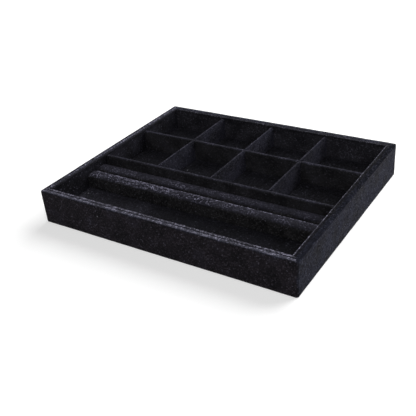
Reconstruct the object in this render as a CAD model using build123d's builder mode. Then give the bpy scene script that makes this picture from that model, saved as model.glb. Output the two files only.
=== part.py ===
from build123d import *
import os

# Velvet-covered jewellery tray that lies in a drawer. Millimetres, +X to the right, +Y to the back,
# +Z up. The origin lies under the middle of the tray, on the surface that the tray stands on.

# Outer size
tray_length = 356.0
tray_depth = 300.0
tray_height = 45.5

# Thickness of each sheet
velvet = 0.9
wall_board = 4.5
base_board = 4.5
panel_card = 2.5
floor_foam = 7.1
felt = 0.6

# Outer shape and turned-in edges
corner_radius = 1.6  # upright corners
base_radius = 1.2  # edge between the outer faces and the underside
rim_radius = 1.3  # outer edge of the rim
seam_radius = 0.8  # edges of the rim beside the seam, and of the liner panels
hem_reach = 16.0  # how far the outer velvet reaches in under the base
felt_inset = 6.0
felt_corner = 4.0
liner_drop = 0.4  # liner panels below the rim

# Inside layout, from the front
front_channel = 66.8
roll_depth = 18.1
roll_height = 19.6
ring_slot = 2.6  # between the ring rolls
rear_slot = 3.5  # between the rear roll and the front divider
front_row = 82.6
column_pitch = 82.0
divider_drop = 2.2  # tops of the dividers below the rim
divider_radius = 1.5  # soft long edges of the dividers
divider_corner = 3.0  # rounded upper corners of each divider
lap_height = 14.6  # of the half-lap slots, above the floor
floor_radius = 1.2  # upper edge of the floor pad

# Ring rolls
roll_shoulder = 4.5  # radius of the upper edges
roll_foot = 1.5  # radius of the lower edges
roll_crown = 1.8
end_lengths = (0.0, 2.0, 6.0)  # where the drawn-in ends of a roll are measured
end_squeezes = (0.6, 0.2, 0.0)  # how much lower and narrower a roll is there

# Corner brads
brad_radius = 0.6
brad_head_radius = 1.0
brad_head = 0.6
brad_set = 0.2  # heads below the face of the board
brad_length = 15.0
brad_tip = 1.2
brad_point = 0.1  # radius that the tip ends in
brad_heights = (8.0, 26.0)  # above the underside of the boards

# Clearances
soft_gap = 0.3  # round foam and padded pieces
end_gap = 0.1  # at the ends of the dividers
lap_gap = 0.1  # on each side in the half-lap slots
brad_gap = 0.05
least_radius = 0.2

# Distances from the outer faces
board_face = velvet
board_back = board_face + wall_board
seam = board_back + velvet
card_face = seam + panel_card
liner_face = card_face + velvet

# Heights
board_bottom = felt + velvet
board_top = tray_height - velvet
base_top = board_bottom + base_board
foam_top = base_top + floor_foam
floor_top = foam_top + velvet
liner_top = tray_height - liner_drop
divider_top = tray_height - divider_drop
lap_top = floor_top + lap_height

# Names of what repeats, from the front and from the left
sides = ("front", "back", "left", "right")
roll_names = ("front", "rear")

# Lines of the layout
half_length = tray_length / 2
half_depth = tray_depth / 2
inner_length = tray_length - 2 * liner_face
inner_back = half_depth - liner_face
rolls_front = -half_depth + liner_face + front_channel
rolls_back = rolls_front + len(roll_names) * roll_depth + ring_slot + rear_slot
divider = panel_card + 2 * velvet
front_divider_y = rolls_back + divider / 2
row_front = rolls_back + divider
middle_divider_y = row_front + front_row + divider / 2
cross_places = {"left": -column_pitch, "centre": 0.0, "right": column_pitch}


def inside(radius):
    # Radius of an edge one layer of velvet further in
    return max(radius - velvet, least_radius)


def write(piece, name):
    piece.label = name
    export_step(piece, f"parts/{name}.step")


def slab(inset, bottom, top, upright=0.0, under=0.0, over=0.0):
    # A block under or over the whole tray, with rounded edges where a radius is given
    with BuildPart() as made:
        with BuildSketch(Plane.XY.offset(bottom)):
            Rectangle(tray_length - 2 * inset, tray_depth - 2 * inset)
        extrude(amount=top - bottom)
        if upright:
            fillet(made.edges().filter_by(Axis.Z), upright)
        if under:
            fillet(made.faces().sort_by(Axis.Z)[0].edges(), under)
        if over:
            fillet(made.faces().sort_by(Axis.Z)[-1].edges(), over)
    return made.part


def runs_long(side):
    return side in ("front", "back")


def strip(side, outer, inner, ends):
    # Centre and size in plan of a strip along one side, between two distances from the outer face
    across = inner - outer
    sign = -1 if side in ("front", "left") else 1
    if runs_long(side):
        centre = (0, sign * (half_depth - outer - across / 2))
        size = (tray_length - 2 * ends, across)
    else:
        centre = (sign * (half_length - outer - across / 2), 0)
        size = (across, tray_depth - 2 * ends)
    return centre, size


def strip_block(side, outer, inner, ends, bottom, top, edge=0.0):
    # The strip as an upright panel, with its two long upper edges rounded
    centre, size = strip(side, outer, inner, ends)
    along = Axis.X if runs_long(side) else Axis.Y
    with BuildPart() as made:
        with BuildSketch(Plane.XY.offset(bottom)):
            with Locations(centre):
                Rectangle(*size)
        extrude(amount=top - bottom)
        if edge:
            upper = made.faces().sort_by(Axis.Z)[-1]
            fillet(upper.edges().filter_by(along), edge)
    return made.part


def corner_fall(radius, inset):
    # How far a rounded corner falls back at this distance in from its side
    beyond = max(radius - inset, 0.0)
    return radius - (radius**2 - beyond**2) ** 0.5


def brads(gap):
    # The brads go through the front and back boards into the ends of the side boards, heads sunk in
    reach = half_length - board_face - wall_board / 2
    sunk = brad_set + corner_fall(inside(corner_radius), wall_board / 2 - brad_head_radius)
    heads = [
        Plane(
            origin=(x * reach, y * (half_depth - board_face - sunk), board_bottom + z),
            x_dir=(1, 0, 0),
            z_dir=(0, -y, 0),
        )
        for x in (-1, 1)
        for y in (-1, 1)
        for z in brad_heights
    ]
    shank = brad_length - brad_tip
    inward = (Align.CENTER, Align.CENTER, Align.MIN)
    outward = (Align.CENTER, Align.CENTER, Align.MAX)
    with BuildPart() as made:
        with Locations(*heads):
            Cylinder(brad_head_radius + gap, brad_head + gap, align=inward)
            Cylinder(brad_radius + gap, shank, align=inward)
            if gap:
                Cylinder(brad_head_radius + gap, sunk, align=outward)
        with Locations(*[head.offset(shank) for head in heads]):
            Cone(brad_radius + gap, brad_point + gap, brad_tip, align=inward)
    return made.part


# Carcass: four wall boards round a base board, rounded on the outside

with BuildPart() as carcass:
    add(
        slab(
            board_face,
            board_bottom,
            board_top,
            upright=inside(corner_radius),
            under=inside(base_radius),
            over=inside(rim_radius),
        )
    )
    with BuildSketch(Plane.XY.offset(base_top)):
        Rectangle(tray_length - 2 * board_back, tray_depth - 2 * board_back)
    extrude(amount=tray_height, mode=Mode.SUBTRACT)

os.makedirs("parts", exist_ok=True)

for side in sides:
    centre, size = strip(side, board_face, board_back, board_face if runs_long(side) else board_back)
    with BuildPart() as board:
        add(carcass.part)
        with BuildSketch():
            with Locations(centre):
                Rectangle(*size)
        extrude(amount=tray_height, mode=Mode.INTERSECT)
        add(brads(brad_gap), mode=Mode.SUBTRACT)
    write(board.part, f"{side}_wall_board")

write(slab(board_back, board_bottom, base_top), "base_board")
write(brads(0.0), "corner_brads")

# Outer velvet: over the outer faces and the rim, down inside the boards and in under the base

with BuildPart() as outer_velvet:
    add(slab(0.0, felt, tray_height, upright=corner_radius, under=base_radius, over=rim_radius))
    with BuildSketch(Plane.XY.offset(base_top)):
        Rectangle(tray_length - 2 * seam, tray_depth - 2 * seam)
    extrude(amount=tray_height, mode=Mode.SUBTRACT)
    rim = outer_velvet.faces().sort_by(Axis.Z)[-1]
    fillet(rim.inner_wires().edges(), seam_radius)
    add(carcass.part, mode=Mode.SUBTRACT)
    with BuildSketch(Plane.XY.offset(felt)):
        Rectangle(tray_length - 2 * hem_reach, tray_depth - 2 * hem_reach)
    extrude(amount=velvet, mode=Mode.SUBTRACT)
write(outer_velvet.part, "outer_velvet")

# Underside felt: lies on the hem and steps up to the base board inside it

with BuildPart() as underside_felt:
    with BuildSketch():
        RectangleRounded(tray_length - 2 * felt_inset, tray_depth - 2 * felt_inset, felt_corner)
    extrude(amount=felt)
    with BuildSketch(Plane.XY.offset(felt)):
        Rectangle(tray_length - 2 * hem_reach, tray_depth - 2 * hem_reach)
    extrude(amount=velvet)
    with BuildSketch():
        Rectangle(tray_length - 2 * (hem_reach + felt), tray_depth - 2 * (hem_reach + felt))
    extrude(amount=velvet, mode=Mode.SUBTRACT)
write(underside_felt.part, "underside_felt")

# Liner panels: a card against the outer velvet, with its own velvet over its face and upper edge

for side in sides:
    ends = seam if runs_long(side) else liner_face
    liner_card = strip_block(side, seam, card_face, ends, base_top, liner_top - velvet)
    with BuildPart() as liner_velvet:
        add(strip_block(side, seam, liner_face, ends, base_top, liner_top, seam_radius))
        add(liner_card, mode=Mode.SUBTRACT)
    write(liner_card, f"{side}_liner_card")
    write(liner_velvet.part, f"{side}_liner_velvet")

# Floor pad: a foam sheet with velvet over it, turned down round its edges

pad_edge = liner_face + soft_gap
foam_sheet = slab(pad_edge + velvet, base_top, foam_top)
with BuildPart() as floor_velvet:
    add(slab(pad_edge, base_top, floor_top, over=floor_radius))
    add(foam_sheet, mode=Mode.SUBTRACT)
write(foam_sheet, "floor_foam")
write(floor_velvet.part, "floor_velvet")


def upright_sheet(plane, run, top, thick, corner):
    # A sheet that stands on the floor pad, centred on the plane, with rounded upper corners
    with BuildPart() as made:
        with BuildSketch(plane) as outline:
            Rectangle(run, top - floor_top, align=(Align.CENTER, Align.MIN))
            fillet(outline.vertices().group_by(Axis.Y)[-1], corner)
        extrude(amount=thick / 2, both=True)
    return made.part


def divider_pair(plane, run, slots=None):
    # A divider's card and its velvet sleeve. The slots, where there are any, are cut through both.
    card = upright_sheet(
        plane, run - 2 * velvet, divider_top - velvet, panel_card, inside(divider_corner)
    )
    broad = Axis((0, 0, 0), plane.z_dir)
    with BuildPart() as sleeve:
        add(upright_sheet(plane, run, divider_top, divider, divider_corner))
        outline = sleeve.faces().filter_by(broad).edges()
        on_floor = outline.group_by(Axis.Z)[0]
        fillet(outline - on_floor, divider_radius)
        add(card, mode=Mode.SUBTRACT)
        if slots:
            add(slots, mode=Mode.SUBTRACT)
    with BuildPart() as slotted_card:
        add(card)
        if slots:
            add(slots, mode=Mode.SUBTRACT)
    return slotted_card.part, sleeve.part


def lap_slots(places, bottom, top):
    # Square slots at each crossing of two dividers
    width = divider + 2 * lap_gap
    with BuildPart() as made:
        with BuildSketch(Plane.XY.offset(bottom)):
            with Locations(*places):
                Rectangle(width, width)
        extrude(amount=top - bottom)
    return made.part


# Dividers: two long ones, and three across that pass under the top of the middle one

crossings = [(x, middle_divider_y) for x in cross_places.values()]
lower_slots = lap_slots(crossings, floor_top, lap_top + lap_gap)
upper_slots = lap_slots(crossings, lap_top - lap_gap, tray_height)


def long_plane(y):
    return Plane(origin=(0, y, floor_top), x_dir=(1, 0, 0), z_dir=(0, -1, 0))


long_run = inner_length - 2 * end_gap
for name, y, slots in (
    ("front_divider", front_divider_y, None),
    ("middle_divider", middle_divider_y, lower_slots),
):
    divider_card, sleeve = divider_pair(long_plane(y), long_run, slots)
    write(divider_card, f"{name}_card")
    write(sleeve, f"{name}_velvet")

cross_run = inner_back - row_front - 2 * end_gap
cross_middle = (inner_back + row_front) / 2
for place, x in cross_places.items():
    plane = Plane(origin=(x, cross_middle, floor_top), x_dir=(0, 1, 0), z_dir=(1, 0, 0))
    divider_card, sleeve = divider_pair(plane, cross_run, upper_slots)
    write(divider_card, f"{place}_cross_divider_card")
    write(sleeve, f"{place}_cross_divider_velvet")


def roll_body(y, shrink):
    # A crowned bar along X whose ends are drawn in, smaller by shrink all round
    half_run = inner_length / 2 - soft_gap
    stations = [(half_run - at, squeeze) for at, squeeze in zip(end_lengths, end_squeezes)]
    stations = [(-x, squeeze) for x, squeeze in stations] + stations[::-1]
    with BuildPart() as made:
        for x, squeeze in stations:
            half = roll_depth / 2 - shrink - squeeze / 2
            low = shrink
            high = roll_height - shrink - squeeze
            plane = Plane(origin=(x, y, floor_top), x_dir=(0, 1, 0), z_dir=(1, 0, 0))
            with BuildSketch(plane) as section:
                with BuildLine():
                    Polyline((-half, high - roll_crown), (-half, low), (half, low), (half, high - roll_crown))
                    ThreePointArc((half, high - roll_crown), (0, high), (-half, high - roll_crown))
                make_face()
                shoulders = section.vertices().group_by(Axis.Y)[-1]
                fillet(shoulders, max(roll_shoulder - shrink, least_radius))
                feet = section.vertices().group_by(Axis.Y)[0]
                fillet(feet, max(roll_foot - shrink, least_radius))
        loft(ruled=True)
    return made.part


# Ring rolls: foam bars in velvet, side by side, between the front channel and the front divider

for number, name in enumerate(roll_names):
    y = rolls_front + roll_depth / 2 + number * (roll_depth + ring_slot)
    foam_bar = roll_body(y, velvet)
    with BuildPart() as roll_velvet:
        add(roll_body(y, 0.0))
        add(foam_bar, mode=Mode.SUBTRACT)
    write(foam_bar, f"{name}_ring_roll_foam")
    write(roll_velvet.part, f"{name}_ring_roll_velvet")
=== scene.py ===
# Velvet jewellery tray for a drawer: its cloth, foam, felt and boards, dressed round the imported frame.
# Everything is in metres in the frame's own axes: +X to the right, +Y to the back, +Z up.

import math

import bmesh
import bpy
import numpy as np
from mathutils import Matrix, Vector


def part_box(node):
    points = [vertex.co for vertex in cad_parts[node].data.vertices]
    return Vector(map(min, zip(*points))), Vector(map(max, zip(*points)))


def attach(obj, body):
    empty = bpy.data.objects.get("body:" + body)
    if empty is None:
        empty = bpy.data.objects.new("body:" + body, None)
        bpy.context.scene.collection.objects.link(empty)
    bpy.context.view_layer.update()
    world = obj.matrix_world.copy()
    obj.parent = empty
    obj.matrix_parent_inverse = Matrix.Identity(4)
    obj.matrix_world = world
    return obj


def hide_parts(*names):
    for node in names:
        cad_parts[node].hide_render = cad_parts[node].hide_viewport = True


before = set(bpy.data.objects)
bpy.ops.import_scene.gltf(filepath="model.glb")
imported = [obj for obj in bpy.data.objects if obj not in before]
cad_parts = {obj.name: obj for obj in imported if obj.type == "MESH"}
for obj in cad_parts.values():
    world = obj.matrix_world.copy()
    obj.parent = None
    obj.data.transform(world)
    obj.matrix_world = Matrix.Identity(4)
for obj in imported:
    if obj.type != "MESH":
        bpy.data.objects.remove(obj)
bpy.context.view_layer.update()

mm = 0.001


def middleOf(name, axis):
    # The middle of a node's box along X (0), Y (1) or Z (2)
    low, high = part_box(name)
    return (low[axis] + high[axis]) / 2


# Places that the pieces share, read from the frame
outerLow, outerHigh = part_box("outer_velvet")
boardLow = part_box("front_wall_board")[0]
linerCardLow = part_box("front_liner_card")[0]
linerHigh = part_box("front_liner_velvet")[1]
padLow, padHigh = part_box("floor_velvet")
dividerLow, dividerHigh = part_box("front_divider_velvet")
halfLength, halfDepth = outerHigh.x, outerHigh.y
clothThick = boardLow.y - outerLow.y
seamInset = linerCardLow.y - outerLow.y
linerInset = linerHigh.y - outerLow.y
dividerHalf = (dividerHigh.y - dividerLow.y) / 2
rimTop, linerTop, floorTop = outerHigh.z, linerHigh.z, padHigh.z
rollFront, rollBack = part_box("front_ring_roll_velvet")[0].y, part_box("rear_ring_roll_velvet")[1].y
frontDividerY, middleDividerY = (middleOf(f"{name}_divider_velvet", 1) for name in ("front", "middle"))
crossPlaces = {name: middleOf(f"{name}_cross_divider_velvet", 0) for name in ("left", "centre", "right")}
print("frame loaded:", len(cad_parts), "nodes")


# Mesh helpers

def steps(start, end, size):
    # Even steps of about this size from start to end, both included
    return np.linspace(start, end, max(2, round(abs(end - start) / size) + 1))


def line(start, end, size=0.0, count=None):
    # The points between two corners of a profile, without the corners themselves
    count = count or max(1, round(math.dist(start, end) / size))
    return [tuple(np.array(start) + (np.array(end) - start) * k / count) for k in range(1, count)]


def arc(centre, radius, first, last, count):
    # Points round part of a circle, from the first angle to the last, in degrees
    angles = np.radians(np.linspace(first, last, count + 1))
    return [(centre[0] + radius * math.cos(a), centre[1] + radius * math.sin(a)) for a in angles]


def newPiece(name, points, faces):
    mesh = bpy.data.meshes.new(name)
    mesh.from_pydata(np.reshape(points, (-1, 3)).tolist(), [], np.reshape(faces, (-1, 4)).tolist())
    mesh.validate()
    mesh.shade_smooth()
    piece = bpy.data.objects.new(name, mesh)
    bpy.context.scene.collection.objects.link(piece)
    return piece


def gridFaces(stations, around, closeStations=False, closeProfile=False):
    # Quads over a grid of points, with its vertex numbers
    index = np.arange(stations * around).reshape(stations, around)
    ring = np.vstack([index, index[:1]]) if closeStations else index
    ring = np.hstack([ring, ring[:, :1]]) if closeProfile else ring
    quads = np.stack([ring[:-1, :-1], ring[:-1, 1:], ring[1:, 1:], ring[1:, :-1]], axis=-1)
    return quads.reshape(-1, 4), index


def mirrorCap(row, turned):
    # Quads over the end of a profile whose second half mirrors the first
    half = len(row) // 2
    left, right = row[:half], row[::-1][:half]
    quads = np.stack([left[:-1], left[1:], right[1:], right[:-1]], axis=-1)
    return quads[:, ::-1] if turned else quads


def facesOutward(piece, openEnds=()):
    # Closes open ends, given as rows of vertex numbers, and turns all faces outward
    edit = bmesh.new()
    edit.from_mesh(piece.data)
    edit.verts.ensure_lookup_table()
    for row in openEnds:
        edit.faces.new([edit.verts[n] for n in row])
    bmesh.ops.recalc_face_normals(edit, faces=edit.faces)
    edit.to_mesh(piece.data)
    edit.free()


def newBar(name, along, middle, base, stations, sections, closeProfile):
    # A bar along X (0) or Y (1) round its middle, with a section at each station and closed ends. The
    # second half of a section mirrors the first.
    sections = np.array(sections)
    points = np.zeros((*sections.shape[:2], 3))
    points[..., along] = middle[along] + stations[:, None]
    points[..., 1 - along] = middle[1 - along] + sections[..., 0]
    points[..., 2] = base + sections[..., 1]
    faces, index = gridFaces(*points.shape[:2], closeProfile=closeProfile)
    caps = [mirrorCap(index[0], True), mirrorCap(index[-1], False)]
    piece = newPiece(name, points, np.vstack([faces, *caps]))
    facesOutward(piece)
    return piece, points


def setNap(piece, lean, opened):
    # Which way the pile lies at each point, and how far it stands open, as it does over a bend. The same
    # share sets painted highlights, where the pale open colour stands in for light.
    nap = piece.data.attributes.new("nap", "FLOAT_VECTOR", "POINT")
    nap.data.foreach_set("vector", np.ascontiguousarray(lean, np.float32).ravel())
    bend = piece.data.attributes.new("opened", "FLOAT", "POINT")
    bend.data.foreach_set("value", np.ascontiguousarray(opened, np.float32).ravel())


pileRelief = {
    "tuftSize": 2.6 * mm,
    "tuftHeight": 0.22 * mm,
    "waveSize": 28 * mm,
    "waveHeight": 0.45 * mm,
    "sunk": 0.35,  # the share of the relief that goes below the cloth's face
    "levels": 8,  # in which it fades out
}


def cloudTexture(name, size, depth):
    clouds = bpy.data.textures.new(name, "CLOUDS")
    clouds.noise_scale = size
    clouds.noise_depth = depth
    return clouds


tuftTexture = cloudTexture("pileTufts", pileRelief["tuftSize"], 1)
waveTexture = cloudTexture("pileWaves", pileRelief["waveSize"], 2)


def setPile(piece, weights):
    # How far the uneven pile may lift each point
    group = piece.vertex_groups.new(name="pile")
    weights = np.round(np.ravel(weights) * pileRelief["levels"]) / pileRelief["levels"]
    for level in np.unique(weights[weights > 0]):
        group.add(np.flatnonzero(weights == level).tolist(), float(level), "REPLACE")


def raisePile(piece, tufts=1.0, waves=1.0):
    for name, texture, height in (
        ("tufts", tuftTexture, tufts * pileRelief["tuftHeight"]),
        ("waves", waveTexture, waves * pileRelief["waveHeight"]),
    ):
        lift = piece.modifiers.new(name, "DISPLACE")
        lift.texture = texture
        lift.texture_coords = "LOCAL"
        lift.strength = height
        lift.mid_level = pileRelief["sunk"]
        lift.vertex_group = "pile"


def thicken(piece, thick):
    cloth = piece.modifiers.new("clothThickness", "SOLIDIFY")
    cloth.thickness = thick
    cloth.offset = -1


def dress(piece, material, slot, *nodes):
    piece.data.materials.append(material)
    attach(piece, "root")
    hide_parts(*nodes)
    print("piece made:", piece.name)


# Shader helpers

def newNode(tree, kind, **values):
    made = tree.nodes.new(kind)
    for name, value in values.items():
        setattr(made, name, value)
    return made


def plug(tree, socket, value):
    # A socket takes a link or a plain value
    if isinstance(value, bpy.types.NodeSocket):
        tree.links.new(value, socket)
    else:
        socket.default_value = value


def maths(tree, operation, *values, clamp=False):
    made = newNode(tree, "ShaderNodeMath", operation=operation, use_clamp=clamp)
    for socket, value in zip(made.inputs, values):
        plug(tree, socket, value)
    return made.outputs[0]


def vectors(tree, operation, *values):
    made = newNode(tree, "ShaderNodeVectorMath", operation=operation)
    for socket, value in zip(made.inputs, values):
        plug(tree, socket, value)
    return made.outputs["Value" if operation in ("DOT_PRODUCT", "LENGTH") else "Vector"]


def scaled(tree, vector, factor):
    made = newNode(tree, "ShaderNodeVectorMath", operation="SCALE")
    plug(tree, made.inputs[0], vector)
    plug(tree, made.inputs["Scale"], factor)
    return made.outputs["Vector"]


def objectPlace(tree):
    return newNode(tree, "ShaderNodeTexCoord").outputs["Object"]


def noise(tree, where, scale, detail=2.0, roughness=0.5, output="Fac"):
    made = newNode(tree, "ShaderNodeTexNoise")
    plug(tree, made.inputs["Vector"], where)
    plug(tree, made.inputs["Scale"], scale)
    made.inputs["Detail"].default_value = detail
    made.inputs["Roughness"].default_value = roughness
    return made.outputs[output]


def cells(tree, where, scale, **values):
    made = newNode(tree, "ShaderNodeTexVoronoi", **values)
    plug(tree, made.inputs["Vector"], where)
    plug(tree, made.inputs["Scale"], scale)
    return made.outputs


def ramp(tree, value, low, high, outLow=0.0, outHigh=1.0):
    made = newNode(tree, "ShaderNodeMapRange", interpolation_type="SMOOTHSTEP")
    for socket, number in zip(made.inputs, (value, low, high, outLow, outHigh)):
        plug(tree, socket, number)
    return made.outputs["Result"]


def blend(tree, factor, first, second):
    # The Mix node has its two colours at inputs 6 and 7, and the mixed colour at output 2
    made = newNode(tree, "ShaderNodeMix", data_type="RGBA")
    plug(tree, made.inputs["Factor"], factor)
    plug(tree, made.inputs[6], first)
    plug(tree, made.inputs[7], second)
    return made.outputs[2]


def redChannel(tree, colour):
    # One channel of a random colour, as a random number
    made = newNode(tree, "ShaderNodeSeparateColor")
    plug(tree, made.inputs["Color"], colour)
    return made.outputs["Red"]


def eitherWay(tree, colour, size):
    # A random colour as a random vector of this size
    return scaled(tree, vectors(tree, "SUBTRACT", colour, (0.5, 0.5, 0.5)), size)


def bump(tree, height, depth, strength=1.0, normal=None, **values):
    made = newNode(tree, "ShaderNodeBump", **values)
    plug(tree, made.inputs["Strength"], strength)
    plug(tree, made.inputs["Distance"], depth)
    plug(tree, made.inputs["Height"], height)
    if normal is not None:
        plug(tree, made.inputs["Normal"], normal)
    return made.outputs["Normal"]


def newGroup(name, inputs, outputs):
    # A shader group with named sockets: name, kind and starting value
    tree = bpy.data.node_groups.new(name, "ShaderNodeTree")
    for label, kind, value in inputs:
        socket = tree.interface.new_socket(name=label, in_out="INPUT", socket_type=kind)
        socket.default_value = value
    for label, kind in outputs:
        tree.interface.new_socket(name=label, in_out="OUTPUT", socket_type=kind)
    return tree, newNode(tree, "NodeGroupInput").outputs, newNode(tree, "NodeGroupOutput").inputs


def useGroup(tree, group, finish):
    # Each socket of the group takes the value of its own name from the finish
    made = newNode(tree, "ShaderNodeGroup", node_tree=group)
    for socket in made.inputs:
        socket.default_value = finish[socket.name[0].lower() + socket.name[1:]]
    return made.outputs


def newMaterial(name):
    material = bpy.data.materials.new(name)
    material.use_nodes = True
    tree = material.node_tree
    return material, tree, tree.nodes["Principled BSDF"].inputs


# Shader groups

def makeVelvetPile():
    tree, given, result = newGroup(
        "velvetPile",
        [
            ("Deep", "NodeSocketColor", (0.001, 0.001, 0.0012, 1)),
            ("Tips", "NodeSocketColor", (0.006, 0.006, 0.007, 1)),
            ("Cool", "NodeSocketColor", (0.006, 0.0066, 0.009, 1)),
            ("Glint", "NodeSocketColor", (0.05, 0.05, 0.06, 1)),
            ("Open", "NodeSocketColor", (0.06, 0.06, 0.07, 1)),
            ("TuftScale", "NodeSocketFloat", 620.0),
            ("PatchScale", "NodeSocketFloat", 30.0),
            ("Patchy", "NodeSocketFloat", 0.5),
            ("Grain", "NodeSocketFloat", 1.0),
            ("Lean", "NodeSocketFloat", 0.4),
            ("Ruffle", "NodeSocketFloat", 0.4),
        ],
        [
            ("Color", "NodeSocketColor"),
            ("Roughness", "NodeSocketFloat"),
            ("Height", "NodeSocketFloat"),
            ("Normal", "NodeSocketVector"),
        ],
    )
    where = objectPlace(tree)
    patches = noise(tree, where, given["PatchScale"], 3.0, 0.55)
    patchLight = ramp(tree, patches, 0.34, 0.66, -0.5, 0.5)
    # Tufts of pile, each with its own share of light
    stir = noise(tree, where, given["TuftScale"], 1.0, 0.5, "Color")
    stir = scaled(tree, stir, maths(tree, "DIVIDE", 1.2, given["TuftScale"]))
    tufts = cells(tree, vectors(tree, "ADD", where, stir), given["TuftScale"])
    chance = redChannel(tree, tufts["Color"])
    crown = ramp(tree, tufts["Distance"], 0.15, 0.75, 1.0, 0.0)
    tuftLight = maths(tree, "MULTIPLY", crown, maths(tree, "POWER", chance, 1.6))
    evenLight = maths(tree, "MULTIPLY_ADD", maths(tree, "SUBTRACT", tuftLight, 0.25), given["Grain"], 0.25)
    light = maths(tree, "MULTIPLY_ADD", patchLight, given["Patchy"], evenLight)
    # Painted light: faces turned to the top, the back and the right, towards the key light, take a second
    # tips colour that stands in for the light on them
    facing = newNode(tree, "ShaderNodeNewGeometry").outputs["Normal"]
    turned = vectors(tree, "DOT_PRODUCT", facing, (0.5, 1.0, 0.8))
    cool = ramp(tree, maths(tree, "ADD", turned, patchLight), -0.9, 0.4)
    tips = blend(tree, cool, given["Tips"], given["Cool"])
    pile = blend(tree, maths(tree, "ADD", light, 0.0, clamp=True), given["Deep"], tips)
    # Painted highlights: where the pile stands open, the colour turns to the pale Open colour, which stands
    # in for light
    opened = newNode(tree, "ShaderNodeAttribute", attribute_name="opened").outputs["Fac"]
    opened = maths(tree, "MULTIPLY", opened, maths(tree, "ADD", patchLight, 1.0))
    # Wide open pile shows its separate tufts, and pile that is only a little open looks even
    spread = maths(tree, "MULTIPLY", crown, maths(tree, "POWER", chance, 2.2))
    parted = maths(tree, "MULTIPLY", opened, 2.6, clamp=True)
    spread = maths(tree, "MULTIPLY", maths(tree, "MULTIPLY_ADD", spread, 1.7, -0.27), parted)
    litOpenTufts = maths(tree, "MULTIPLY", opened, maths(tree, "ADD", spread, 0.3), clamp=True)
    pile = blend(tree, litOpenTufts, pile, given["Open"])
    # Painted glints: a few fibre ends are painted bright, as if they caught the light
    ends = maths(tree, "MULTIPLY", crown, ramp(tree, chance, 0.92, 1.0))
    ends = maths(tree, "MULTIPLY", ends, given["Grain"])
    plug(tree, result["Color"], blend(tree, ends, pile, given["Glint"]))
    plug(tree, result["Roughness"], ramp(tree, patches, 0.3, 0.7, 0.82, 1.0))
    standing = maths(tree, "MULTIPLY", crown, chance)
    plug(tree, result["Height"], maths(tree, "MULTIPLY_ADD", patches, 0.6, standing))
    # The pile lies over: its tips lean the way of the cloth's nap, more in some patches than in others
    nap = newNode(tree, "ShaderNodeAttribute", attribute_name="nap").outputs["Vector"]
    unevenLean = maths(tree, "MULTIPLY_ADD", patchLight, given["Patchy"], 1.0)
    unevenLean = maths(tree, "MULTIPLY", given["Lean"], unevenLean)
    brushed = noise(tree, where, given["PatchScale"], 2.0, 0.5, "Color")
    tilted = vectors(tree, "ADD", facing, scaled(tree, nap, unevenLean))
    tilted = vectors(tree, "ADD", tilted, eitherWay(tree, brushed, given["Patchy"]))
    tilted = vectors(tree, "ADD", tilted, eitherWay(tree, tufts["Color"], given["Ruffle"]))
    plug(tree, result["Normal"], vectors(tree, "NORMALIZE", tilted))
    return tree


def makeLintSpecks():
    tree, given, result = newGroup(
        "lintSpecks",
        [
            ("Scale", "NodeSocketFloat", 60.0),
            ("Size", "NodeSocketFloat", 0.07),
            ("Share", "NodeSocketFloat", 0.05),
        ],
        [("Mask", "NodeSocketFloat")],
    )
    where = objectPlace(tree)
    bent = vectors(tree, "ADD", where, scaled(tree, noise(tree, where, 500.0, 1.0, 0.5, "Color"), 0.002))
    specks = cells(tree, bent, given["Scale"])
    chosen = maths(tree, "LESS_THAN", redChannel(tree, specks["Color"]), given["Share"])
    near = maths(tree, "LESS_THAN", specks["Distance"], given["Size"])
    plug(tree, result["Mask"], maths(tree, "MULTIPLY", chosen, near))
    return tree


def makeFibreGrain():
    # Pressed fibres, for the boards, the cards and the felt
    tree, given, result = newGroup(
        "fibreGrain",
        [
            ("Dark", "NodeSocketColor", (0.2, 0.13, 0.08, 1)),
            ("Pale", "NodeSocketColor", (0.4, 0.28, 0.18, 1)),
            ("Scale", "NodeSocketFloat", 400.0),
            ("Flecks", "NodeSocketFloat", 0.3),
        ],
        [("Color", "NodeSocketColor"), ("Roughness", "NodeSocketFloat"), ("Height", "NodeSocketFloat")],
    )
    where = objectPlace(tree)
    felted = noise(tree, where, given["Scale"], 5.0, 0.7)
    clouds = noise(tree, where, maths(tree, "MULTIPLY", given["Scale"], 0.06), 3.0, 0.5)
    stretched = vectors(tree, "MULTIPLY", where, (1.0, 0.22, 1.0))
    flecks = ramp(tree, noise(tree, stretched, given["Scale"], 2.0, 0.5), 0.62, 0.7)
    shade = maths(tree, "MULTIPLY_ADD", clouds, 0.4, maths(tree, "MULTIPLY", felted, 0.7))
    base = blend(tree, ramp(tree, shade, 0.35, 0.75), given["Dark"], given["Pale"])
    flecks = maths(tree, "MULTIPLY", flecks, given["Flecks"])
    plug(tree, result["Color"], blend(tree, flecks, base, given["Dark"]))
    plug(tree, result["Roughness"], ramp(tree, felted, 0.3, 0.7, 0.75, 0.95))
    plug(tree, result["Height"], felted)
    return tree


velvetPile = makeVelvetPile()
lintSpecks = makeLintSpecks()
fibreGrain = makeFibreGrain()


# Materials

plainVelvet = {
    "deep": (0.0014, 0.0014, 0.0015, 1),
    "tips": (0.025, 0.0236, 0.0262, 1),
    # tips' colour on faces turned towards the key light: painted light
    "cool": (0.0236, 0.0236, 0.033, 1),
    "glint": (0.07, 0.067, 0.09, 1),
    # the pale colour of open pile, painted as highlights
    "open": (0.2, 0.195, 0.255, 1),
    "tuftScale": 520.0,
    "patchScale": 34.0,
    "patchy": 0.3,
    "grain": 1.0,
    "lean": 0.45,
    "ruffle": 0.5,
    "lint": (0.15, 0.15, 0.17, 1),
    "specks": {"scale": 70.0, "size": 0.06, "share": 0.03},
    "reliefDepth": 0.6 * mm,
    "specular": 0.06,
    "sheen": 0.04,
    "sheenRoughness": 0.3,
    "sheenTint": (0.8, 0.78, 1.0, 1),
}


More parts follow.
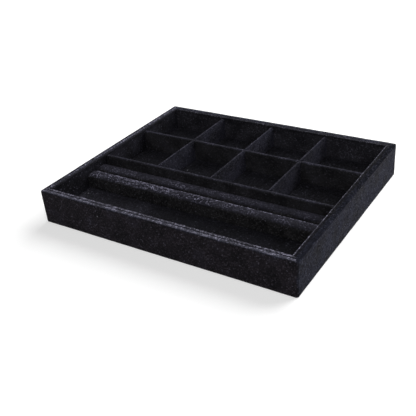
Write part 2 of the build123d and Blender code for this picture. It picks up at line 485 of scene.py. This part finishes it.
def velvet(name, changes):
    finish = {**plainVelvet, **changes}
    material, tree, surface = newMaterial(name)
    pile = useGroup(tree, velvetPile, finish)
    lint = useGroup(tree, lintSpecks, finish["specks"])
    plug(tree, surface["Base Color"], blend(tree, lint["Mask"], pile["Color"], finish["lint"]))
    plug(tree, surface["Roughness"], pile["Roughness"])
    raised = bump(tree, pile["Height"], finish["reliefDepth"], normal=pile["Normal"])
    plug(tree, surface["Normal"], raised)
    surface["Specular IOR Level"].default_value = finish["specular"]
    surface["Specular Tint"].default_value = finish["sheenTint"]
    surface["Sheen Weight"].default_value = finish["sheen"]
    surface["Sheen Roughness"].default_value = finish["sheenRoughness"]
    surface["Sheen Tint"].default_value = finish["sheenTint"]
    return material


outerVelvet = velvet(
    "outerVelvet",
    {
        "tips": (0.051, 0.043, 0.053, 1),
        "cool": (0.053, 0.057, 0.088, 1),
        "patchy": 0.18,
        "grain": 0.6,
        "lean": 0.7,
        "ruffle": 0.3,
    },
)
linerVelvet = velvet(
    "linerVelvet",
    {
        "tips": (0.02, 0.019, 0.021, 1),
        "cool": (0.019, 0.019, 0.0266, 1),
        "grain": 0.5,
        "lean": 0.7,
    },
)
dividerVelvet = velvet(
    "dividerVelvet",
    {
        "tips": (0.047, 0.046, 0.05, 1),
        "cool": (0.05, 0.05, 0.076, 1),
        "patchy": 0.18,
        "grain": 0.35,
        "lean": 0.2,
    },
)
rollVelvet = velvet(
    "rollVelvet",
    {
        "tips": (0.068, 0.066, 0.07, 1),
        "cool": (0.013, 0.013, 0.02, 1),
        "open": (0.34, 0.33, 0.45, 1),
        "patchy": 0.15,
        "grain": 0.5,
        "lean": 0.2,
        "specular": 0.04,
        "sheen": 0.03,
    },
)
floorVelvet = velvet(
    "floorVelvet",
    {
        "tips": (0.0175, 0.017, 0.0185, 1),
        "cool": (0.017, 0.017, 0.022, 1),
        "grain": 0.5,
        "sheen": 0.02,
        "lean": 0.2,
    },
)


def pressedFibre(name, finish):
    material, tree, surface = newMaterial(name)
    grain = useGroup(tree, fibreGrain, finish)
    plug(tree, surface["Base Color"], grain["Color"])
    plug(tree, surface["Roughness"], grain["Roughness"])
    plug(tree, surface["Normal"], bump(tree, grain["Height"], finish["reliefDepth"], finish["relief"]))
    surface["Sheen Weight"].default_value = finish["sheen"]
    return material


fibreboard = pressedFibre(
    "fibreboard",
    {
        "dark": (0.15, 0.09, 0.05, 1),
        "pale": (0.36, 0.24, 0.14, 1),
        "scale": 700.0,
        "flecks": 0.5,
        "relief": 0.3,
        "reliefDepth": 0.3 * mm,
        "sheen": 0.0,
    },
)
greyboard = pressedFibre(
    "greyboard",
    {
        "dark": (0.19, 0.185, 0.17, 1),
        "pale": (0.36, 0.35, 0.33, 1),
        "scale": 900.0,
        "flecks": 0.4,
        "relief": 0.2,
        "reliefDepth": 0.3 * mm,
        "sheen": 0.0,
    },
)
blackFelt = pressedFibre(
    "blackFelt",
    {
        "dark": (0.006, 0.006, 0.007, 1),
        "pale": (0.028, 0.027, 0.03, 1),
        "scale": 500.0,
        "flecks": 0.6,
        "relief": 0.9,
        "reliefDepth": 0.3 * mm,
        "sheen": 0.3,
    },
)


foamFinish = {
    "walls": (0.62, 0.6, 0.52, 1),
    "pores": (0.34, 0.32, 0.27, 1),
    "poreScale": 1100.0,
    "poreDepth": 0.4 * mm,
}


def openFoam():
    material, tree, surface = newMaterial("openFoam")
    edges = cells(tree, objectPlace(tree), foamFinish["poreScale"], feature="DISTANCE_TO_EDGE")
    pores = ramp(tree, edges["Distance"], 0.02, 0.22)
    plug(tree, surface["Base Color"], blend(tree, pores, foamFinish["walls"], foamFinish["pores"]))
    plug(tree, surface["Roughness"], ramp(tree, pores, 0.0, 1.0, 0.8, 0.98))
    plug(tree, surface["Normal"], bump(tree, pores, foamFinish["poreDepth"], invert=True))
    return material


steelFinish = {
    "dark": (0.42, 0.42, 0.43, 1),
    "bright": (0.62, 0.62, 0.61, 1),
    "streakScale": 6000.0,
    "streakStretch": (1.0, 0.05, 1.0),
}


def brightSteel():
    material, tree, surface = newMaterial("bradSteel")
    stretched = vectors(tree, "MULTIPLY", objectPlace(tree), steelFinish["streakStretch"])
    streaks = noise(tree, stretched, steelFinish["streakScale"], 2.0, 0.6)
    plug(tree, surface["Base Color"], blend(tree, streaks, steelFinish["dark"], steelFinish["bright"]))
    plug(tree, surface["Roughness"], ramp(tree, streaks, 0.2, 0.8, 0.25, 0.5))
    surface["Metallic"].default_value = 1.0
    return material


foamMaterial = openFoam()
steelMaterial = brightSteel()
print("materials made")


# Outer velvet, in one piece round the tray

outerCover = {
    "cornerRadius": 2.9 * mm,
    "baseRadius": 1.2 * mm,
    "rimRadius": 1.3 * mm,
    "seamRadius": 0.8 * mm,
    "hemReach": 16.0 * mm,
    "legShown": 4.0 * mm,  # of the part beside the liner panels
    "mesh": 1.25 * mm,
    "hemMesh": 2.0 * mm,
    "rimMesh": 0.8 * mm,
    "hiddenMesh": 6.0 * mm,
}


# The pile on the rim of each side: which way the side faces, which way the pile was brushed, how much
# further it stands open towards the back, and rows of inset in mm, how far it stands open there and its
# share of the brushing. How far it stands open also paints highlights: bright bands along the front and
# left rims, a bright line on the right rim's inner edge, and painted light growing towards the back.
rimPile = {
    "front": {
        "way": (0, -1),
        "nap": (-0.3, 0.9, 0),
        "rise": 0.0,
        "rows": (
            (0.0, 0.0, 0.0), (0.9, 0.1, 0.5), (2.0, 0.7, 1.0), (3.0, 1.6, 1.0),
            (4.8, 1.6, 1.0), (5.6, 0.3, 0.0), (6.3, 0.1, -0.5), (7.4, 0.2, -0.5),
            (8.4, 1.5, 1.0), (10.5, 1.6, 1.0), (11.0, 0.3, 0.5),
        ),
    },
    "left": {
        "way": (-1, 0),
        "nap": (0.0, 0.6, 0),
        "rise": 0.35,
        "rows": (
            (0.0, 0.0, -1.0), (3.0, 0.0, -0.5), (4.0, 1.1, 1.0), (6.2, 1.5, 1.0),
            (7.0, 0.6, 0.5), (8.0, 0.1, -0.1), (11.0, 0.05, 0.0),
        ),
    },
    "back": {
        "way": (0, 1),
        "nap": (0.4, 0.2, 0),
        "rise": 0.0,
        "rows": ((0.0, 0.15, 1.0), (10.0, 0.3, 1.0)),
    },
    "right": {
        "way": (1, 0),
        "nap": (0.2, -0.6, 0),
        "rise": 0.0,
        "rows": (
            (0.0, 0.0, 1.5), (4.0, 0.0, 1.5), (6.5, 0.0, 0.5),
            (9.4, 0.0, 0.5), (9.8, 1.6, -1.0), (11.0, 1.6, -1.0),
        ),
    },
}


def rimLie(side, insets, y):
    # How far the pile stands open, with its painted highlights, at these insets, and which way it lies
    pile = rimPile[side]
    given, opened, share = np.array(pile["rows"]).T
    opened = np.interp(insets / mm, given, opened) * (1 + pile["rise"] * y / halfDepth)
    return opened, np.interp(insets / mm, given, share)[..., None] * pile["nap"]


def ringPath(size):
    # Stations round a rounded rectangle: where each one stands on the plain rectangle, as shares of its
    # half sides, and its outward direction
    cornerStations = 6

    def heading(degrees):
        return np.array([math.cos(math.radians(degrees)), math.sin(math.radians(degrees))])

    anchors, outward = [], []
    for quarter in range(4):
        turn = quarter * 90
        start, end = heading(turn - 45), heading(turn + 45)
        side = halfDepth if quarter % 2 == 0 else halfLength
        for share in steps(0, 1, size / (2 * side))[1:-1]:
            anchors.append((start + (end - start) * share) * math.sqrt(2))
            outward.append(heading(turn))
        for degrees in np.linspace(turn, turn + 90, cornerStations):
            anchors.append(end * math.sqrt(2))
            outward.append(heading(degrees))
    return np.array(anchors), np.array(outward)


def ringPoints(anchors, outward, profile, cornerRadius):
    # The profile's points, given as inset and height, set round the path
    least = 0.3 * mm  # radius where the profile runs further in than the corner's own radius
    rings = []
    for inset, height in profile:
        radius = max(cornerRadius - inset, least)
        reach = np.array([halfLength, halfDepth]) - inset - radius
        flat = anchors * reach + outward * radius
        rings.append(np.column_stack([flat, np.full(len(flat), height)]))
    return np.stack(rings, axis=1)


def makeOuterCover():
    base, top, foot = outerLow.z, rimTop, padLow.z
    hemReach, baseRadius = outerCover["hemReach"], outerCover["baseRadius"]
    rimRadius, seamRadius = outerCover["rimRadius"], outerCover["seamRadius"]
    fine, rimMesh, coarse = outerCover["mesh"], outerCover["rimMesh"], outerCover["hiddenMesh"]
    # The cloth's shown face: the hem, up the wall, over the rim and down beside the liner panels
    hem = [(hemReach, base), *line((hemReach, base), (baseRadius, base), outerCover["hemMesh"])]
    outside = hem + arc((baseRadius, base + baseRadius), baseRadius, 270, 180, 5)
    outside += line((0, base + baseRadius), (0, top - rimRadius), fine)
    outside += arc((rimRadius, top - rimRadius), rimRadius, 180, 90, 5)
    outside += line((rimRadius, top), (seamInset - seamRadius, top), rimMesh)
    outside += arc((seamInset - seamRadius, top - seamRadius), seamRadius, 90, 0, 4)
    shownFoot = (seamInset, top - outerCover["legShown"])
    outside += [*line((seamInset, top - seamRadius), shownFoot, rimMesh), shownFoot]
    # Its hidden face, from the foot back to the hem
    legBack, boardTop = seamInset - clothThick, top - clothThick
    inside = [*line(shownFoot, (seamInset, foot), coarse), (seamInset, foot), (legBack, foot)]
    inside += [*line((legBack, foot), (legBack, boardTop), coarse), (legBack, boardTop)]
    inside += [(rimRadius, boardTop), (clothThick, top - rimRadius)]
    inside += line((clothThick, top - rimRadius), (clothThick, base + baseRadius), coarse)
    inside += [(clothThick, base + baseRadius), (baseRadius, base + clothThick)]
    inside += [(hemReach, base + clothThick)]
    profile = outside + inside
    anchors, outward = ringPath(fine)
    points = ringPoints(anchors, outward, profile, outerCover["cornerRadius"])
    faces, _ = gridFaces(len(anchors), len(profile), closeStations=True, closeProfile=True)
    piece = newPiece("outer_velvet_cover", points, faces)
    facesOutward(piece)
    shown = np.arange(len(profile)) < len(outside)
    shown[: len(hem) - 1] = False  # the hem lies flat
    setPile(piece, np.tile(shown, (len(anchors), 1)))
    insets, heights = np.array(profile).T
    onRim = (heights > top - 0.9 * rimRadius)[None, :]
    opened, lie = 0, 0
    for side, pile in rimPile.items():
        share = np.clip(outward @ pile["way"], 0, 1)[:, None] * onRim
        sideOpenedAndLit, sideLie = rimLie(side, insets, points[..., 1])
        opened, lie = opened + share * sideOpenedAndLit, lie + share[..., None] * sideLie
    setNap(piece, lie, opened)
    raisePile(piece)
    dress(piece, outerVelvet, "outer_velvet", "outer_velvet")


makeOuterCover()


# Liner panels' velvet

linerCover = {
    "edgeRadius": 0.8 * mm,
    "mesh": 1.25 * mm,
    "topMesh": 0.7 * mm,
    "bead": 1.2 * mm,  # how far the cloth bulges over the inner edge
    "beadDrop": 2.4 * mm,
    "beadFullness": 1.8,
    "beadEnd": 1.5 * mm,
    "faceNap": (0.2, 0, 0.5),
    # painted light on the inner faces, most of all on the back wall's
    "faceOpened": {"front": 0.0, "back": 0.15, "left": 0.06, "right": 0.0},
}


def sideFrame(side):
    # The middle of a side's outer edge, the direction along it and the direction inward
    turn = {"front": 0, "right": 1, "back": 2, "left": 3}[side]
    along = Vector((round(math.cos(turn * math.pi / 2)), round(math.sin(turn * math.pi / 2)), 0))
    inward = Vector((-along.y, along.x, 0))
    reach = halfDepth if turn % 2 == 0 else halfLength
    return np.array(-inward * reach), np.array(along), np.array(inward)


def makeLinerCover(side):
    low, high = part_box(f"{side}_liner_velvet")
    origin, along, inward = sideFrame(side)
    half = high.x if side in ("front", "back") else high.y
    radius, fine = linerCover["edgeRadius"], linerCover["mesh"]
    foot, top, face = low.z, linerTop, linerInset
    cardTop, cardFace = top - clothThick, face - clothThick
    outside = arc((seamInset + radius, top - radius), radius, 180, 90, 4)
    outside += line((seamInset + radius, top), (face - radius, top), linerCover["topMesh"])
    outside += arc((face - radius, top - radius), radius, 90, 0, 4)
    outside += line((face, top - radius), (face, foot), fine)
    profile = outside + [(face, foot), (cardFace, foot), (cardFace, cardTop), (seamInset, cardTop)]
    stations = steps(-half, half, fine)
    insets, heights = np.array(profile).T
    # The bead fades out at the corners, and a little below the edge
    butt = face - seamInset if side in ("front", "back") else 0
    bulge = np.clip(((heights - top) / linerCover["beadDrop"] + 1) * linerCover["beadFullness"], 0, 1)
    reach = np.clip((half - np.abs(stations) - butt) / linerCover["beadEnd"], 0, 1)
    overEdge = np.clip((insets - seamInset - radius) / (face - seamInset - 2 * radius), 0, 1)
    overEdge[len(outside):] = 0
    insets = insets + linerCover["bead"] * reach[:, None] * bulge * overEdge
    points = origin + stations[:, None, None] * along + insets[..., None] * inward
    points[..., 2] += heights
    faces, index = gridFaces(len(stations), len(profile), closeProfile=True)
    piece = newPiece(f"{side}_liner_velvet_cover", points, faces)
    facesOutward(piece, openEnds=(index[0], index[-1]))
    shown = np.arange(len(profile)) < len(outside)
    setPile(piece, np.tile(shown, (len(stations), 1)))
    onTop = points[..., 2] > top - radius
    opened, lie = rimLie(side, insets, points[..., 1])
    lie = np.where(onTop[..., None], lie, linerCover["faceNap"])
    setNap(piece, lie, np.where(onTop, opened, linerCover["faceOpened"][side]))
    raisePile(piece)
    dress(piece, linerVelvet, "liner_velvet", f"{side}_liner_velvet")


for side in ("front", "back", "left", "right"):
    makeLinerCover(side)


# Dividers' velvet sleeves

dividerSleeve = {
    "edgeRadius": 1.5 * mm,
    "cornerRadius": 3.0 * mm,
    "lapHeight": 14.6 * mm,  # of the half-laps, above the floor
    "slotPlay": 0.1 * mm,
    "mesh": 1.3 * mm,
    "slotMesh": 0.3 * mm,
    "slotClear": 0.5 * mm,  # free of other stations
    "cornerStations": (0, 0.01, 0.06, 0.14, 0.3, 0.5, 0.75),  # shares of the corner's radius
    "sideSteps": 22,
    # painted highlights over the tops and along the cross dividers' left edges, and a little painted light
    # on the faces
    "topOpened": 0.18,
    "edgeOpened": 0.4,
    "faceOpened": 0.03,
    "faceNap": (0, 0, 0.5),
    "crossTopNap": (0.8, -1.5, 0),
}


def roundedDrop(distance, radius):
    # How far a rounded corner lies below its edge, at this distance from its end
    short = np.clip(radius - distance, 0, radius)
    return radius - np.sqrt(radius**2 - short**2)


def makeSleeve(name, crossings=(), slotOver=False):
    # A velvet sleeve over an upright card. Crossings are places along it, slotted above or below.
    low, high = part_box(f"{name}_velvet")
    size, middle = high - low, (low + high) / 2
    along = 0 if size.x > size.y else 1
    half, halfThick = size[along] / 2, size[1 - along] / 2
    edgeRadius, cornerRadius = dividerSleeve["edgeRadius"], dividerSleeve["cornerRadius"]
    slot, slotMesh = halfThick + dividerSleeve["slotPlay"], dividerSleeve["slotMesh"]
    lapTop = floorTop + dividerSleeve["lapHeight"]
    # Stations along the sleeve, closer at its rounded corners and at its slots
    corner = half - cornerRadius * np.array(dividerSleeve["cornerStations"])
    spots = [steps(-half + cornerRadius, half - cornerRadius, dividerSleeve["mesh"]), corner, -corner]
    for crossing in crossings:
        place = crossing - middle[along]
        spots = [s[np.abs(s - place) > slot + dividerSleeve["slotClear"]] for s in spots]
        spots.append(place + np.array([-slot - slotMesh, -slot, slot, slot + slotMesh]))
    stations = np.unique(np.round(np.concatenate(spots), 7))
    fromEnd = half - np.abs(stations)
    tops = high.z - roundedDrop(fromEnd, cornerRadius)
    feet = np.full(len(stations), floorTop)
    halves = halfThick - roundedDrop(fromEnd, edgeRadius)
    for crossing in crossings:
        inSlot = np.abs(stations - (crossing - middle[along])) < slot + 0.01 * mm
        if slotOver:
            tops[inSlot] = lapTop
        else:
            feet[inSlot] = lapTop
    sections = []
    for top, foot, wide in zip(tops, feet, halves):
        radius = min(edgeRadius, wide * 0.75)
        climb = np.linspace(foot, top - radius, dividerSleeve["sideSteps"])[:-1]
        left = [(-wide, height) for height in climb]
        left += arc((-wide + radius, top - radius), radius, 180, 90, 5)
        sections.append(left + [(-across, height) for across, height in left[::-1]])
    piece, points = newBar(f"{name}_sleeve", along, middle, 0, stations, sections, closeProfile=False)
    setPile(piece, np.ones(points.shape[:2]))
    # Painted highlights: the pile stands open and lighter over the tops of the long dividers, and along the
    # left edge of the others' tops; the faces get a little painted light
    onTop = points[..., 2] > high.z - edgeRadius
    topOpened, topLie = dividerSleeve["topOpened"], np.zeros(3)
    if along == 1:
        leftEdge = points[..., 0] < middle.x - 0.3 * halfThick
        topOpened = np.where(leftEdge, dividerSleeve["edgeOpened"], 0)
        topLie = np.where(leftEdge[..., None], 0, dividerSleeve["crossTopNap"])
    lie = np.where(onTop[..., None], topLie, dividerSleeve["faceNap"])
    setNap(piece, lie, np.where(onTop, topOpened, dividerSleeve["faceOpened"]))
    raisePile(piece, waves=0.5)
    thicken(piece, clothThick)
    dress(piece, dividerVelvet, "divider_velvet", f"{name}_velvet")


makeSleeve("front_divider")
makeSleeve("middle_divider", crossPlaces.values())
for place in crossPlaces:
    makeSleeve(f"{place}_cross_divider", [middleDividerY], slotOver=True)


# Ring rolls: foam bars in velvet

ringRoll = {
    "shoulder": 4.5 * mm,
    "footRadius": 1.5 * mm,
    "crown": 1.8 * mm,
    "endLength": 6.0 * mm,
    "endSqueeze": 0.6 * mm,
    "endBend": 2.5,  # more keeps the drawn-in end straighter for longer
    "mesh": 1.3 * mm,
    "endStations": (0, 0.03, 0.1, 0.2, 0.35, 0.5, 0.7, 0.9),  # shares of the drawn-in end's length
    "raisedFrom": 4 * mm,  # above the foot
    "relief": {"velvet": (1.0, 1.2), "foam": (0.5, 0.4)},  # tufts and waves
    # Painted highlights: how far the pile stands open and lighter over the top, and more along the ridge
    # near the rear edge, where a bright line is painted
    "opened": {"front": (0.48, 2.2), "rear": (0.27, 0.0)},
    "openedDrop": 3 * mm,  # below the top, where it is closed
    # the painted light fades towards the right end, as painted shade
    "openedEnds": (1.15, 0.3),  # shares of it at the left and right ends
    "ridge": (0.74, 0.24),  # its place and half width, as shares of the half width of the roll
    "nap": (0, 0.3, 0),
}


def rollSection(width, height, shoulder, foot):
    # Right half of the section from the middle of the bottom, then its mirror image. The top is an arc of a
    # large circle, and the shoulder is a small one that touches both this arc and the side.
    start, last = 0.4 * mm, 89.0  # beside the middle of the bottom, and the angle just short of the top's
    half, crown = width / 2, ringRoll["crown"]
    large = (half**2 + crown**2) / (2 * crown)
    middle = height - large
    across = half - shoulder
    up = middle + math.sqrt((large - shoulder) ** 2 - across**2)
    meet = math.degrees(math.acos(across / (large - shoulder)))
    right = [(start, 0.0), *line((start, 0), (half - foot, 0), count=4)]
    right += arc((half - foot, foot), foot, 270, 360, 4)
    right += line((half, foot), (half, up), count=9)
    right += arc((across, up), shoulder, 0, meet, 8)
    right += arc((0, middle), large, meet, last, 8)[1:]
    return right + [(-side, rise) for side, rise in right[::-1]]


def makeRoll(name, part, shrink, material, slot):
    low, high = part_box(f"{name}_ring_roll_{part}")
    middle = (low + high) / 2
    half, endLength = (high.x - low.x) / 2, ringRoll["endLength"]
    ends = half - endLength * np.array(ringRoll["endStations"])
    plain = steps(-half + endLength, half - endLength, ringRoll["mesh"])
    stations = np.unique(np.concatenate([plain, ends, -ends]))
    shoulder, foot = ringRoll["shoulder"] - shrink, ringRoll["footRadius"] - shrink
    sections = []
    for station in stations:
        share = max(0.0, 1 - (half - abs(station)) / endLength)
        squeeze = ringRoll["endSqueeze"] * share ** ringRoll["endBend"]
        sections.append(rollSection(high.y - low.y - squeeze, high.z - low.z - squeeze, shoulder, foot))
    label = f"{name}_ring_roll_cover" if part == "velvet" else f"{name}_ring_roll_core"
    piece, points = newBar(label, 0, middle, low.z, stations, sections, closeProfile=True)
    setPile(piece, np.clip((points[..., 2] - low.z) / ringRoll["raisedFrom"], 0, 1))
    tufts, waves = ringRoll["relief"][part]
    raisePile(piece, tufts, waves)
    if part == "velvet":
        # Painted highlights: open and lighter over the top, most of all in a bright line along the rear
        # edge, and closed on the sides; painted shade towards the right end
        across = (points[..., 1] - middle.y) / (high.y - low.y) * 2
        lifted = np.clip((points[..., 2] - high.z) / ringRoll["openedDrop"] + 1, 0, 1)
        ridgePlace, ridgeWidth = ringRoll["ridge"]
        ridge = np.clip(1 - np.abs(across - ridgePlace) / ridgeWidth, 0, 1)
        overTop, ridgeHighlightShare = ringRoll["opened"][name]
        lightFade = np.interp(stations, (-half, half), ringRoll["openedEnds"])[:, None]
        opened = lifted * (overTop * lightFade + ridgeHighlightShare * ridge)
        setNap(piece, lifted[..., None] * ringRoll["nap"], opened)
        thicken(piece, clothThick)
    dress(piece, material, slot, f"{name}_ring_roll_{part}")


for name in ("front", "rear"):
    makeRoll(name, "foam", clothThick, foamMaterial, "foam")
    makeRoll(name, "velvet", 0.0, rollVelvet, "roll_velvet")


# Floor pad: a foam sheet with velvet over it, pressed down where the dividers and rolls stand on it

floorPad = {
    "mesh": 2.0 * mm,
    "edgeRadius": {"velvet": 1.2 * mm, "foam": 0.6 * mm},
    "edgeTurns": (22, 45, 68, 90),  # degrees
    "swell": 0.7 * mm,
    "swellReach": 9.0 * mm,
    # painted light near the left end of the front channel
    "opened": 0.32,
    "openedReach": 170 * mm,
}


def swellAt(x, y):
    # Height that the pad swells to, from nothing at what holds it down to full in the open
    away = np.minimum(padHigh.x - np.abs(x), padHigh.y - np.abs(y))
    for dividerY in (frontDividerY, middleDividerY):
        away = np.minimum(away, np.abs(y - dividerY) - dividerHalf)
    for place in crossPlaces.values():
        away = np.where(y > frontDividerY, np.minimum(away, np.abs(x - place) - dividerHalf), away)
    away = np.where(y < rollFront, np.minimum(away, rollFront - y), away)
    away = np.where((y > rollFront) & (y < rollBack), 0, away)
    share = np.clip(away / floorPad["swellReach"], 0, 1)
    return floorPad["swell"] * np.sin(share * math.pi / 2)


def turnDown(edit, corner, radius, drop):
    # Rounds the sheet's border over by rows of new edges, down to its foot, and gives back the last row
    starts = {v: v.co.copy() for v in edit.verts if v.is_boundary}
    ways = {}
    for v in starts:
        overSides = [abs(abs(v.co[k]) - corner[k]) < 0.001 * mm for k in (0, 1)]
        ways[v] = Vector([math.copysign(1, v.co[k]) if overSides[k] else 0 for k in (0, 1)] + [0])
    turns = np.radians(floorPad["edgeTurns"])
    rows = [(radius * math.sin(a), -radius * (1 - math.cos(a))) for a in turns] + [(radius, drop)]
    edges = [e for e in edit.edges if e.is_boundary]
    for reach, fall in rows:
        made = bmesh.ops.extrude_edge_only(edit, edges=edges)["geom"]
        edges = [e for e in made if isinstance(e, bmesh.types.BMEdge)]
        nextStarts, nextWays = {}, {}
        for v in (v for v in made if isinstance(v, bmesh.types.BMVert)):
            source = next(e.other_vert(v) for e in v.link_edges if e.other_vert(v) in starts)
            nextStarts[v], nextWays[v] = starts[source], ways[source]
        for v in nextStarts:
            v.co = nextStarts[v] + nextWays[v] * reach + Vector((0, 0, fall))
        starts, ways = nextStarts, nextWays
    return edges


def makePad(part, material, slot):
    low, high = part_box(f"floor_{part}")
    radius = floorPad["edgeRadius"][part]
    across = steps(low.x + radius, high.x - radius, floorPad["mesh"])
    deep = steps(low.y + radius, high.y - radius, floorPad["mesh"])
    x, y = np.meshgrid(across, deep, indexing="ij")
    points = np.stack([x, y, high.z + swellAt(x, y)], axis=-1)
    faces, _ = gridFaces(*points.shape[:2])
    name = "floor_velvet_cover" if part == "velvet" else "floor_foam_sheet"
    piece = newPiece(name, points, faces)
    edit = bmesh.new()
    edit.from_mesh(piece.data)
    edges = turnDown(edit, (across[-1], deep[-1]), radius, low.z - high.z)
    if part == "foam":
        bmesh.ops.holes_fill(edit, edges=edges, sides=0)
    edit.to_mesh(piece.data)
    edit.free()
    facesOutward(piece)
    if piece.data.polygons[0].normal.z < 0:
        piece.data.flip_normals()
    # Only the top of the pad is uneven
    places = np.array([v.co for v in piece.data.vertices])
    setPile(piece, places[:, 2] > high.z - 0.1 * mm)
    raisePile(piece, tufts=0.8, waves=0.6)
    if part == "velvet":
        # Painted light: the front channel's floor turns lighter towards its left end
        lightFade = np.clip(1 - (places[:, 0] + halfLength) / floorPad["openedReach"], 0, 1)
        setNap(piece, np.zeros(places.shape), (places[:, 1] < rollFront) * floorPad["opened"] * lightFade)
        thicken(piece, clothThick)
    dress(piece, material, slot, f"floor_{part}")


makePad("foam", foamMaterial, "foam")
makePad("velvet", floorVelvet, "floor_velvet")


# Felt under the tray, over the turned-in hem

underFelt = {
    "corner": 4.0 * mm,
    "thick": outerLow.z,
    "edge": 0.3 * mm,
    "mesh": 2.5 * mm,
    "hemMesh": 2.0 * mm,
    "coarseMesh": 12.0 * mm,
    "edgeTopMesh": 3.0 * mm,
    "middleTopMesh": 16.0 * mm,
    "middleGap": 0.5 * mm,
    # The slope inside the hem's edge, as mm further in and the share of the height of the raised middle
    "slope": ((4.0, 1.0), (2.6, 0.9), (1.0, 0.4), (-0.5, 0.0556), (-2.0, 0.0)),
}


def makeFelt():
    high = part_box("underside_felt")[1]
    thick, edge, hem = underFelt["thick"], underFelt["edge"], outerCover["hemReach"]
    inset, middle = halfLength - high.x, halfDepth - underFelt["middleGap"]
    raised = high.z - thick
    # From the middle outward along the underside, round the edge, and back over the top
    slope = [(hem + further * mm, share * raised) for further, share in underFelt["slope"]]
    profile = [(middle, raised), *line((middle, raised), slope[0], underFelt["coarseMesh"]), *slope]
    profile += line(slope[-1], (inset + edge, 0), underFelt["hemMesh"])
    profile += arc((inset + edge, edge), edge, 270, 180, 3)
    profile += [(inset, thick - edge), (inset + edge, thick)]
    profile += [*line((inset + edge, thick), (hem, thick), underFelt["edgeTopMesh"]), (hem, thick)]
    profile += [(hem + 0.1 * mm, high.z)]
    profile += [*line((hem, high.z), (middle, high.z), underFelt["middleTopMesh"]), (middle, high.z)]
    anchors, outward = ringPath(underFelt["mesh"])
    points = ringPoints(anchors, outward, profile, inset + underFelt["corner"])
    faces, _ = gridFaces(len(anchors), len(profile), closeStations=True, closeProfile=True)
    piece = newPiece("underside_felt_sheet", points, faces)
    facesOutward(piece)
    dress(piece, blackFelt, "underside_felt", "underside_felt")


makeFelt()


# Boards, cards and brads keep the frame's own shapes

finishes = {"board": fibreboard, "card": greyboard, "brads": steelMaterial}
for name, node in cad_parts.items():
    kind = name.split("_")[-1]
    if kind in finishes:
        node.data.materials.clear()
        node.data.materials.append(finishes[kind])
print("construction finished")


# Studio: a pale floor, a soft key light from behind, a weak fill from the front, and the camera

studio = {
    "cameraPlace": (0.41729, -0.64376, 0.43699),
    "azimuth": 34.668,  # degrees, from looking along +Y
    "elevation": 30.456,
    "roll": -5.049,
    "lens": 57.81,
    "sensorWidth": 36.0,
    "clip": (0.01, 50.0),
    "lights": {
        "keyLight": {"way": (0.42, 1.3, 0.98), "distance": 2.4, "size": 2.9, "power": 94.0},
        "frontFill": {"way": (0.5, -1.0, 1.2), "distance": 3.0, "size": 2.5, "power": 56.0},
    },
    "fill": 0.06,
    "floorSize": 8.0,
    "floorShade": (0.78, 0.78, 0.78, 1),
    "floorRoughness": 0.9,
    "whiteShare": 0.34,
    "whitening": (0.25, 0.9),  # metres from the middle of the tray
}


def seenDirectly(tree):
    # 1 for the camera's own rays and for what shows in gloss or glass
    rays = newNode(tree, "ShaderNodeLightPath").outputs
    shine = maths(tree, "MAXIMUM", rays["Is Glossy Ray"], rays["Is Transmission Ray"])
    return maths(tree, "MAXIMUM", rays["Is Camera Ray"], shine)


def makeFloor():
    half = studio["floorSize"] / 2
    corners = [(-half, -half, 0), (half, -half, 0), (half, half, 0), (-half, half, 0)]
    floor = newPiece("studio_floor", corners, [(0, 1, 2, 3)])
    material, tree, surface = newMaterial("paleFloor")
    surface["Base Color"].default_value = studio["floorShade"]
    surface["Roughness"].default_value = studio["floorRoughness"]
    surface["Specular IOR Level"].default_value = 0.0
    # The floor whitens into the background away from the tray
    away = vectors(tree, "LENGTH", objectPlace(tree))
    white = ramp(tree, away, *studio["whitening"], studio["whiteShare"], 1.0)
    glow = newNode(tree, "ShaderNodeEmission")
    plug(tree, glow.inputs["Strength"], maths(tree, "MULTIPLY", seenDirectly(tree), white))
    both = newNode(tree, "ShaderNodeAddShader")
    plug(tree, both.inputs[0], tree.nodes["Principled BSDF"].outputs[0])
    plug(tree, both.inputs[1], glow.outputs[0])
    plug(tree, tree.nodes["Material Output"].inputs["Surface"], both.outputs[0])
    floor.data.materials.append(material)


def makeWorld():
    world = bpy.data.worlds.new("studio")
    bpy.context.scene.world = world
    world.use_nodes = True
    tree = world.node_tree
    tree.nodes.clear()
    fill = newNode(tree, "ShaderNodeBackground")
    fill.inputs["Strength"].default_value = studio["fill"]
    white = newNode(tree, "ShaderNodeBackground")
    for sky in (fill, white):
        sky.inputs["Color"].default_value = (1, 1, 1, 1)
    mix = newNode(tree, "ShaderNodeMixShader")
    plug(tree, mix.inputs[0], seenDirectly(tree))
    plug(tree, mix.inputs[1], fill.outputs[0])
    plug(tree, mix.inputs[2], white.outputs[0])
    plug(tree, newNode(tree, "ShaderNodeOutputWorld").inputs["Surface"], mix.outputs[0])


def makeSoftLight(name, values):
    lamp = bpy.data.lights.new(name, "AREA")
    lamp.shape = "DISK"
    lamp.size = values["size"]
    lamp.energy = values["power"]
    light = bpy.data.objects.new(name, lamp)
    way = Vector(values["way"]).normalized()
    light.location = way * values["distance"]
    light.rotation_euler = way.to_track_quat("Z", "Y").to_euler()
    bpy.context.scene.collection.objects.link(light)


def makeCamera():
    lens = bpy.data.cameras.new("camera")
    lens.lens = studio["lens"]
    lens.sensor_width = studio["sensorWidth"]
    lens.clip_start, lens.clip_end = studio["clip"]
    camera = bpy.data.objects.new("camera", lens)
    turn = Matrix.Rotation(math.radians(studio["azimuth"]), 4, "Z")
    tip = Matrix.Rotation(math.radians(90 - studio["elevation"]), 4, "X")
    roll = Matrix.Rotation(math.radians(studio["roll"]), 4, "Z")
    camera.matrix_world = Matrix.Translation(studio["cameraPlace"]) @ turn @ tip @ roll
    bpy.context.scene.collection.objects.link(camera)
    bpy.context.scene.camera = camera


makeFloor()
makeWorld()
for name, values in studio["lights"].items():
    makeSoftLight(name, values)
makeCamera()
bpy.context.scene.view_settings.view_transform = "Standard"
print("studio made")
